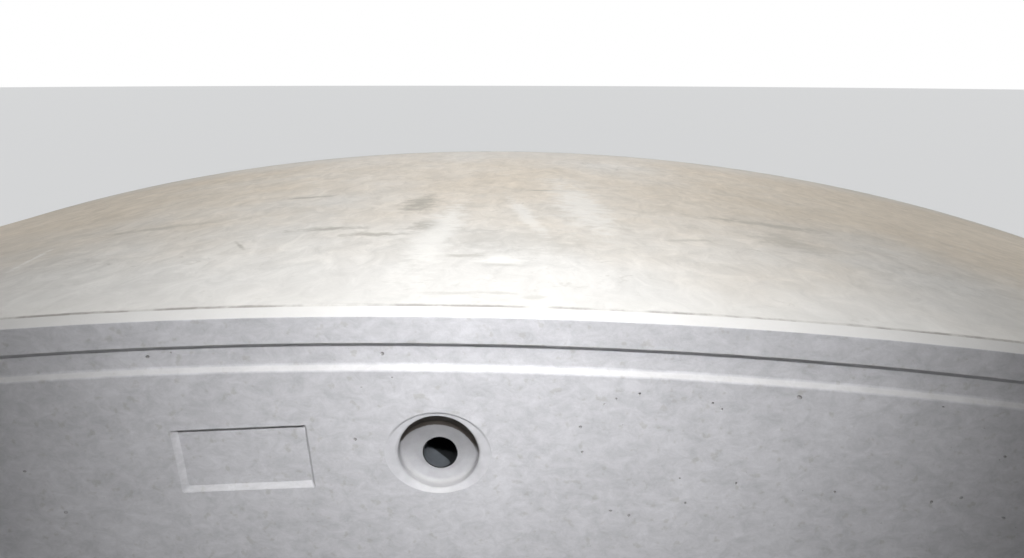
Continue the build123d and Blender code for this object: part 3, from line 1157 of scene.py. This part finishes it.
def duct_concrete(colours):
    """The wall of a bolt duct, a dark grey.

    One side is painted near black: a painted shadow that the edge of the duct's mouth would cast.
    """
    material, tree = new_material("duct_concrete_painted_shadow")
    place = add(tree, "ShaderNodeTexCoord").outputs["Object"]
    patches = add(tree, "ShaderNodeTexNoise", {"Vector": place, "Scale": 1 / (15 * MM), "Detail": 3})
    colour = shaded(tree, colours.duct[:3], patches, 0.2)
    across, up, out = socket_parts(tree)
    # Painted shadow: the side of the duct that the mouth's edge would shade from a lamp above and to the
    # right is painted near black.
    deep = add(tree, "ShaderNodeMath", {0: -REBATE_DEPTH - DISH_DEPTH, 1: out}, operation="SUBTRACT")
    sideways = add(tree, "ShaderNodeMath", {0: deep, 1: DUCT_SHADOW_TURN, 2: across}, operation="MULTIPLY_ADD")
    raised = add(tree, "ShaderNodeMath", {0: up, 1: DUCT_DROP}, operation="ADD")
    raised = add(tree, "ShaderNodeMath", {0: deep, 1: DUCT_SHADOW_SLANT, 2: raised}, operation="MULTIPLY_ADD")
    off_axis = add(tree, "ShaderNodeCombineXYZ", {0: sideways, 1: raised})
    reach = add(tree, "ShaderNodeVectorMath", {0: off_axis}, operation="LENGTH")
    shadow_edge = (DUCT_RADIUS - 1.5 * MM, DUCT_RADIUS - 0.5 * MM)
    colour = stained(tree, colour, colours.duct_shadow, reach, *shadow_edge)
    return surfaced(material, {"Base Color": colour, "Roughness": 0.5})


def pock_concrete(colours):
    """The inside of a blow hole: rough paste with dust and form oil in it."""
    material, tree = new_material("blow_hole_paste")
    place = add(tree, "ShaderNodeTexCoord").outputs["Object"]
    dust = add(tree, "ShaderNodeTexNoise", {"Vector": place, "Scale": 1 / (20 * MM), "Detail": 3})
    colour = add(tree, "ShaderNodeMix", {0: dust, 6: colours.dirt_and_shade, 7: colours.moulded}, data_type="RGBA")
    return surfaced(material, {"Base Color": colour, "Roughness": 0.95})


def floor_material(colour):
    """A pale studio floor: the camera sees it as brightly as a backdrop, with a soft shadow on it."""
    material, tree = new_material("studio_floor")
    matt = add(tree, "ShaderNodeBsdfPrincipled", {"Base Color": colour, "Roughness": 0.9})
    glow = add(tree, "ShaderNodeEmission", {"Color": colour, "Strength": FLOOR_GLOW})
    seen = add(tree, "ShaderNodeLightPath").outputs["Is Camera Ray"]
    share = add(tree, "ShaderNodeMath", {0: seen, 1: FLOOR_GLOW_SHARE}, operation="MULTIPLY")
    mixed = add(tree, "ShaderNodeMixShader", {0: share, 1: matt, 2: glow})
    add(tree, "ShaderNodeOutputMaterial", {"Surface": mixed})
    return material


class CastSegment(bpy.types.Operator):
    """Make the dressed segment in place of its plain solid"""

    bl_idname = "segment.cast"
    bl_label = "Cast segment"

    def execute(self, context):
        sizes = context.scene.segment_sizes
        colours = context.scene.segment_colours
        finishes = [
            moulded_concrete(colours),
            trowelled_concrete(colours),
            formed_concrete(colours),
            duct_concrete(colours),
            pock_concrete(colours),
        ]
        body = build_segment(sizes, finishes)
        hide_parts(NODE)
        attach(body, BODY)
        return {"FINISHED"}


def area_lamp(name, power, place, target, size, spread, side=1):
    """A round soft lamp turned to its target, with that spread of its light; side -1 mirrors it."""
    lamp = bpy.data.lights.new(name, "AREA")
    lamp.shape = "DISK"
    lamp.size = size
    lamp.energy = power
    lamp.spread = spread
    mirror = Vector((side, 1, 1))
    stand = bpy.data.objects.new(name, lamp)
    stand.location = Vector(place) * mirror
    aim = Vector(target) * mirror - Vector(place) * mirror
    stand.rotation_euler = aim.to_track_quat("-Z", "Y").to_euler()
    stand.visible_camera = False
    bpy.context.scene.collection.objects.link(stand)


class SetStage(bpy.types.Operator):
    """Lay the floor, hang the lamps and set up the camera"""

    bl_idname = "segment.stage"
    bl_label = "Set stage"

    def execute(self, context):
        stage = context.scene.segment_stage
        bpy.ops.mesh.primitive_circle_add(vertices=FLOOR_POINTS, radius=FLOOR_RADIUS, fill_type="NGON")
        floor = context.object
        floor.name = "floor"
        floor.data.materials.append(floor_material(stage.floor))
        area_lamp("key", stage.key_power, **KEY_LAMP)
        area_lamp("overhead", stage.overhead_power, **OVERHEAD_LAMP)
        for side in (-1, 1):
            area_lamp("side", stage.side_power, **SIDE_LAMP, side=side)
        self.light_world(context, stage)
        self.place_camera(context)
        return {"FINISHED"}

    @staticmethod
    def light_world(context, stage):
        """A white backdrop where it is seen, and low soft light on the segment from behind and beside."""
        world = bpy.data.worlds.new("studio")
        world.use_nodes = True
        context.scene.world = world
        tree = world.node_tree
        tree.nodes.clear()
        direction = add(tree, "ShaderNodeTexCoord").outputs["Generated"]
        x, y, z = add(tree, "ShaderNodeSeparateXYZ", {0: direction}).outputs
        behind = add(tree, "ShaderNodeMapRange", {
            "Value": y, "From Min": -0.5, "From Max": 0.1, "To Max": stage.surround,
        }, interpolation_type="SMOOTHSTEP")
        aside = add(tree, "ShaderNodeMath", {0: x}, operation="ABSOLUTE")
        beside = add(tree, "ShaderNodeMapRange", {
            "Value": aside, "From Min": 0.85, "From Max": 1.0, "To Max": BESIDE_TIMES * stage.surround,
        }, interpolation_type="SMOOTHSTEP")
        around = add(tree, "ShaderNodeMath", {0: behind, 1: beside}, operation="ADD")
        low = add(tree, "ShaderNodeMapRange", {
            "Value": z, "From Min": 0.35, "From Max": 0,
        }, interpolation_type="SMOOTHSTEP")
        above = add(tree, "ShaderNodeMapRange", {"Value": z, "To Max": stage.ambient})
        strength = add(tree, "ShaderNodeMath", {0: around, 1: low, 2: above}, operation="MULTIPLY_ADD")
        light = add(tree, "ShaderNodeBackground", {"Color": WORLD_TINT, "Strength": strength})
        white = add(tree, "ShaderNodeBackground", {"Color": (1, 1, 1, 1), "Strength": 1})
        rays = add(tree, "ShaderNodeLightPath").outputs
        seen = rays["Is Camera Ray"]
        for ray in ("Is Glossy Ray", "Is Transmission Ray"):
            seen = add(tree, "ShaderNodeMath", {0: seen, 1: rays[ray]}, operation="MAXIMUM")
        mixed = add(tree, "ShaderNodeMixShader", {0: seen, 1: light, 2: white})
        add(tree, "ShaderNodeOutputWorld", {"Surface": mixed})

    @staticmethod
    def place_camera(context):
        """The camera where the photograph's stood, and the view transform."""
        lens = bpy.data.cameras.new("camera")
        lens.sensor_width = SENSOR_WIDTH
        lens.lens = FOCAL_PIXELS / IMAGE_WIDTH * SENSOR_WIDTH
        camera = bpy.data.objects.new("camera", lens)
        turn = Matrix.Rotation(CAMERA_YAW, 3, "Z")
        tilt = Matrix.Rotation(math.pi / 2 - CAMERA_PITCH, 3, "X")
        roll = Matrix.Rotation(CAMERA_ROLL, 3, "Z")
        camera.matrix_world = Matrix.Translation(CAMERA_PLACE) @ (turn @ tilt @ roll).to_4x4()
        context.scene.collection.objects.link(camera)
        context.scene.camera = camera
        context.scene.view_settings.view_transform = "Standard"


class SegmentPanel(bpy.types.Panel):
    """The segment's sizes, colours and makers"""

    bl_idname = "VIEW3D_PT_segment"
    bl_label = "Tunnel segment"
    bl_space_type = "VIEW_3D"
    bl_region_type = "UI"
    bl_category = "Segment"

    def draw(self, context):
        for group in ("segment_sizes", "segment_colours", "segment_stage"):
            settings = getattr(context.scene, group)
            box = self.layout.box()
            for name in settings.__annotations__:
                box.prop(settings, name)
        self.layout.operator("segment.cast")
        self.layout.operator("segment.stage")


CLASSES = (SegmentSizes, SegmentColours, StageSettings, CastSegment, SetStage, SegmentPanel)


def register():
    for kind in CLASSES:
        bpy.utils.register_class(kind)
    bpy.types.Scene.segment_sizes = bpy.props.PointerProperty(type=SegmentSizes)
    bpy.types.Scene.segment_colours = bpy.props.PointerProperty(type=SegmentColours)
    bpy.types.Scene.segment_stage = bpy.props.PointerProperty(type=StageSettings)


def unregister():
    del bpy.types.Scene.segment_stage
    del bpy.types.Scene.segment_colours
    del bpy.types.Scene.segment_sizes
    for kind in reversed(CLASSES):
        bpy.utils.unregister_class(kind)


def main():
    """Registers the add-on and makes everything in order."""
    register()
    bpy.ops.segment.cast()
    bpy.ops.segment.stage()


if __name__ == "__main__":
    main()
